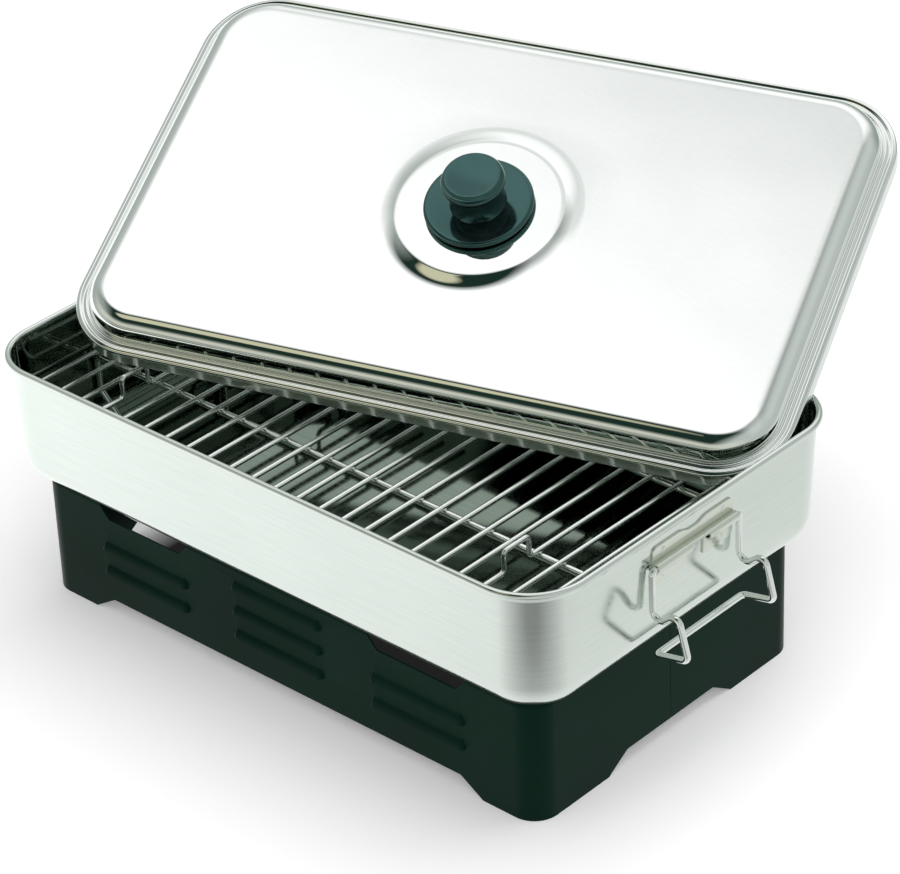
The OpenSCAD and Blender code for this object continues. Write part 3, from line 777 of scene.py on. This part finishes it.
# A flattened nugget where each bar crosses a runner
crossings = add(tree, "GeometryNodeJoinGeometry")
for way in (1.0, -1.0):
    shift = add(tree, "ShaderNodeCombineXYZ")
    join(tree, *maths(tree, "MULTIPLY", (given, "Runner Y"), way), shift, "Y")
    join(tree, *maths(tree, "MULTIPLY", (given, "Weld drop"), -1.0), shift, "Z")
    moved = add(tree, "GeometryNodeTransform")
    join(tree, row, 0, moved, "Geometry")
    join(tree, shift, 0, moved, "Translation")
    join(tree, moved, 0, crossings, 0)
nugget = add(tree, "GeometryNodeMeshIcoSphere", Subdivisions=3)
join(tree, given, "Weld radius", nugget, "Radius")
welds = add(tree, "GeometryNodeInstanceOnPoints", Scale=weld_shape)
join(tree, crossings, 0, welds, "Points")
join(tree, nugget, 0, welds, "Instance")

together = add(tree, "GeometryNodeJoinGeometry")
join(tree, bars, 0, together, 0)
join(tree, welds, 0, together, 0)
real = add(tree, "GeometryNodeRealizeInstances")
join(tree, together, 0, real, 0)
finished = add(tree, "GeometryNodeSetMaterial")
join(tree, real, 0, finished, "Geometry")
join(tree, given, "Wire", finished, "Material")
join(tree, finished, 0, add(tree, "NodeGroupOutput"), 0)

maker = bpy.data.objects.new("bar_maker", bpy.data.meshes.new("bar_maker"))
bpy.context.scene.collection.objects.link(maker)
modifier = maker.modifiers.new("welded_bars", "NODES")
modifier.node_group = tree
for identifier, value in sockets.items():
    modifier[identifier] = value
bpy.context.view_layer.update()
evaluated = maker.evaluated_get(bpy.context.evaluated_depsgraph_get())
bars_mesh = bpy.data.meshes.new_from_object(evaluated)
bars_mesh.name = "rack_bars_welded"
maker.modifiers.clear()
bpy.data.objects.remove(maker)
shape = bmesh.new()
shape.from_mesh(bars_mesh)
for face in shape.faces:
    face.smooth = True
bmesh.ops.recalc_face_normals(shape, faces=shape.faces)
shape.to_mesh(bars_mesh)
shape.free()
bars_mesh.set_sharp_from_angle(angle=bar_crease)
bars_mesh.materials.clear()
place(bars_mesh, [rack_wire], "rack_wire", "rack", "rack_bars")

loop_width = 0.02
loop_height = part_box("rack_lift_bars")[1].z - bar_radius - bar_z
loop_y = 0.067
lift_bend = 0.003
lift_mesh = bpy.data.meshes.new("rack_lift_bars_bent")
shape = bmesh.new()
for number in lift_bars:
    x = rack_low.x + bar_radius + number * bar_pitch
    end = bar_half(x)
    corners = [(-end, bar_z)]
    for y in (-loop_y, loop_y):
        corners += [(y - loop_width / 2, bar_z), (y - loop_width / 2, bar_z + loop_height)]
        corners += [(y + loop_width / 2, bar_z + loop_height), (y + loop_width / 2, bar_z)]
    corners.append((end, bar_z))
    points = [Vector((x, y, z)) for y, z in corners]
    shape.from_mesh(bent_wire(f"lift_bar_{number}", points, [lift_bend] * 8, bar_radius))
shape.to_mesh(lift_mesh)
shape.free()
place(lift_mesh, [rack_wire], "rack_wire", "rack", "rack_lift_bars")

foot_in = 0.0195
foot_length = 0.011
foot_z = runner_low.z + runner_radius
leg_z = bend_z + 0.0025
runner_bend = 0.004
left_end = runner_low.x + runner_radius
right_end = runner_high.x - runner_radius
for name, way in (("front", -1), ("rear", 1)):
    corners = [
        (left_end + foot_in + foot_length, foot_z), (left_end + foot_in, foot_z),
        (left_end, leg_z), (left_end, runner_z), (right_end, runner_z), (right_end, leg_z),
        (right_end - foot_in, foot_z), (right_end - foot_in - foot_length, foot_z),
    ]
    points = [Vector((x, way * runner_y, z)) for x, z in corners]
    mesh = bent_wire(f"rack_runner_{name}_bent", points, [runner_bend] * 6, runner_radius)
    place(mesh, [rack_wire], "rack_wire", "rack", f"rack_runner_{name}")


# ---- Lid ----
# Drawn from 0.8 mm stainless sheet and mirror polished: a flat top with a raised round field for
# the knob, a rounded shoulder, a beaded step that lands on the pan's rim, and a rolled hem.
lid_place = (-0.033, 0.1075, 0.1905)
lid_tip = [math.radians(angle) for angle in (22.17, 9.4, 17.4)]
lid_length = 0.4324
lid_width = 0.2738
lid_corner = 0.0436
lid_sheet = 0.0008
skirt_height = 0.0107
skirt_rings = (0.0045, 0.0068)
step_width = 0.0083
step_round = 0.0015
step_fillet = 0.0009
shoulder_radius = 0.01255
shoulder_start = 9
top_rings = (0.0015, 0.005)
flat_shares = (0.3, 0.6, 0.85)
hem_radius = 0.0017
hem_gap = 0.00004
hem_start = 64
hem_turn = 300
bead_height = 0.0004
bead_waves = 540
field_radius = 0.061
field_slope = 0.012
field_height = 0.0025
field_curve = 1.8
field_rings = (0.0465, 0.03, 0.012)
hole_radius = 0.0026
round_steps = 6
ledge_steps = 22
fillet_turn = 80
fillet_steps = 4
shoulder_steps = 22
slope_steps = 12
hem_steps = 20

lid_half_x = lid_length / 2 - lid_corner
lid_half_y = lid_width / 2 - lid_corner
lid_top = skirt_height + shoulder_radius
shoulder_out = lid_corner - step_width - shoulder_radius
step_in = lid_corner - step_width


def lid_path(inset):
    """The sheet's face from the hem to the flat top, drawn in by inset."""
    path = [(lid_corner - inset, z) for z in skirt_rings]
    size = step_round - inset
    for step in range(round_steps + 1):
        angle = math.radians(90 * step / round_steps)
        path.append((
            lid_corner - step_round + size * math.cos(angle),
            skirt_height - step_round + size * math.sin(angle),
        ))
    top = skirt_height - inset
    foot_out = step_in + step_fillet
    for step in range(1, ledge_steps):
        share = step / ledge_steps
        out = lid_corner - step_round + (foot_out - lid_corner + step_round) * share
        path.append((out, top + bead_height * math.sin(math.radians(bead_waves * share))))
    fillet = step_fillet + inset
    for step in range(fillet_steps + 1):
        angle = math.radians(-90 - fillet_turn * step / fillet_steps)
        path.append((foot_out + fillet * math.cos(angle), top + fillet + fillet * math.sin(angle)))
    size = shoulder_radius - inset
    for step in range(1, shoulder_steps + 1):
        angle = math.radians(shoulder_start + (90 - shoulder_start) * step / shoulder_steps)
        path.append((shoulder_out + size * math.cos(angle), skirt_height + size * math.sin(angle)))
    return path + [(shoulder_out - top_in, lid_top - inset) for top_in in top_rings]


def lid_face(inset):
    """The rings of the sheet's face from the hem to the knob's hole, drawn in by inset."""
    rings = [corner_ring(lid_half_x, lid_half_y, out, z) for out, z in lid_path(inset)]
    outline = rings[-1]
    foot = round_ring(field_radius, lid_top - inset)
    for share in flat_shares:
        rings.append([
            tuple(a + (b - a) * share for a, b in zip(outer, inner))
            for outer, inner in zip(outline, foot)
        ])
    for step in range(slope_steps + 1):
        share = step / slope_steps
        rise = field_height * share ** field_curve
        rings.append(round_ring(field_radius - field_slope * share, lid_top - inset + rise))
    for radius in (*field_rings, hole_radius):
        rings.append(round_ring(radius, lid_top - inset + field_height))
    return rings


outside = lid_face(0)
inside = lid_face(lid_sheet)
hem = []
hem_out = lid_corner - hem_radius - hem_gap
for step in range(hem_steps + 1):
    angle = math.radians(hem_start + hem_turn * step / hem_steps)
    out = hem_out + hem_radius * math.cos(angle)
    z = hem_radius + hem_radius * math.sin(angle)
    hem.append(corner_ring(lid_half_x, lid_half_y, out, z))
lid_mesh = skin("lid_sheet", inside[::-1] + hem + outside, closed=True, finish_after=len(inside))
for face in lid_mesh.polygons:
    if face.material_index == 1 and face.center.z < skirt_height - lid_sheet:
        face.material_index = 2
on_pan = (
    Matrix.Translation(lid_place) @ Matrix.Rotation(lid_tip[0], 4, "X")
    @ Matrix.Rotation(lid_tip[1], 4, "Y") @ Matrix.Rotation(lid_tip[2], 4, "Z")
)
lid_mesh.transform(on_pan)
turn_back = on_pan.to_3x3().transposed().to_euler()
# The lid's inside is rougher, and painted dark as painted shade
lid_inside_painted_shade = steel(
    "lid_dull_painted_shade", dark=(0.13, 0.16, 0.14), light=(0.2, 0.235, 0.21), smooth=0.12, rough=0.2,
    brush=(1, 20, 20), brush_depth=0.00001,
)
lid_steel = steel(
    "lid_polished", dark=(0.84, 0.865, 0.85), light=(0.9, 0.92, 0.905), smooth=0.02, rough=0.06,
    brush=(1, 30, 30), brush_depth=0.000006, wave_depth=0.0009, turn=turn_back,
)
lid_skirt = steel(
    "lid_skirt", dark=(0.74, 0.77, 0.75), light=(0.85, 0.87, 0.85), smooth=0.16, rough=0.26,
    brush=(1, 1, 40), brush_depth=0.00002, turn=turn_back,
)
place(lid_mesh, [lid_inside_painted_shade, lid_steel, lid_skirt], "lid_steel", "lid", "lid")


# ---- Knob ----
# A turned cap and a finger guard of black phenolic plastic over a thin steel spacer. A zinc
# plated screw and washer hold them from inside the lid, in a brass insert in the cap.
phenolic_deep = (0.004, 0.0075, 0.0075)
phenolic_light = (0.008, 0.013, 0.013)
# The cyan tint of the knob's reflections is a painted highlight colour
phenolic_painted_highlight = (0.42, 1.0, 0.96, 1)
mottle_depth = 0.0001
phenolic, tree = new_material("knob_phenolic")
shader = add(
    tree, "ShaderNodeBsdfPrincipled",
    Metallic=0.0, IOR=1.75, Specular_IOR_Level=0.65, Specular_Tint=phenolic_painted_highlight,
)
mottle = grain(tree, 160, detail=3)
tint = ramp(tree, mottle, [(0.35, phenolic_deep), (0.7, phenolic_light)])
join(tree, *tint, shader, "Base Color")
join(tree, *ramp(tree, mottle, [(0.3, 0.06), (0.7, 0.12)]), shader, "Roughness")
bumps(tree, mottle, shader, 0.05, mottle_depth)
to_surface(tree, shader)
turned_steel = steel(
    "spacer_steel", dark=(0.46, 0.48, 0.47), light=(0.62, 0.64, 0.63), smooth=0.2, rough=0.32,
    brush=(12, 12, 12), brush_depth=0.00002,
)
brass = steel(
    "insert_brass", dark=(0.6, 0.46, 0.2), light=(0.74, 0.6, 0.3), smooth=0.2, rough=0.32,
    brush=(10, 10, 10), brush_depth=0.00002,
)
zinc = steel(
    "screw_zinc", dark=(0.56, 0.58, 0.6), light=(0.7, 0.72, 0.74), smooth=0.16, rough=0.3,
    brush=(8, 8, 8), brush_depth=0.00002,
)
for node, finish, slot in (
    ("knob_spacer", turned_steel, "spacer_steel"), ("knob_collar", phenolic, "knob_black"),
    ("knob", phenolic, "knob_black"), ("knob_insert", brass, "insert_brass"),
    ("knob_screw", zinc, "screw_steel"), ("screw_washer", zinc, "screw_steel"),
):
    smooth_copy(node, finish, slot, "lid")
